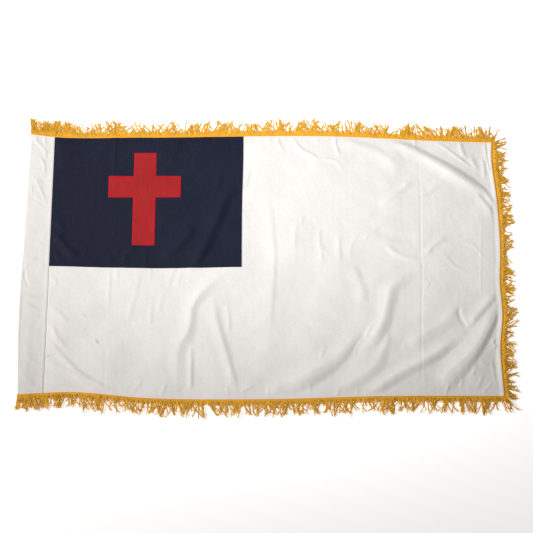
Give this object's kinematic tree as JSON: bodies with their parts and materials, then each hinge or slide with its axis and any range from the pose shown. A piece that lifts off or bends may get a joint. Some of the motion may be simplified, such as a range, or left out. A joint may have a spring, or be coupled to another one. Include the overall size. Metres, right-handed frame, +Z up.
{
  "type": "christian flag",
  "caption": "Fringed white flag lying face up, with a navy canton, a red cross, an open pole sleeve down the hoist and gold fringe on the other sides.",
  "frame": {"origin": "on the surface the flag lies on, under the middle of the whole flag with its fringe", "axes": "+X from the hoist to the fly, +Y to the top edge, +Z up out of the flag's face"},
  "size_m": [1.6607, 1.0353, 0.0212],
  "materials": {
    "white_cloth": "plain woven white flag cloth with a slight sheen",
    "navy_cloth": "plain woven navy flag cloth, matt",
    "red_cloth": "red cloth with a brighter satin-stitched edge",
    "gold_yarn": "shiny golden rayon yarn"
  },
  "bodies": {
    "root": {"field": "white_cloth", "pole_sleeve": "white_cloth", "canton": "navy_cloth", "cross": "red_cloth", "fringe_top": "gold_yarn", "fringe_fly": "gold_yarn", "fringe_bottom": "gold_yarn", "fringe_sleeve_top": "gold_yarn", "fringe_sleeve_bottom": "gold_yarn"}
  },
  "joints": []
}
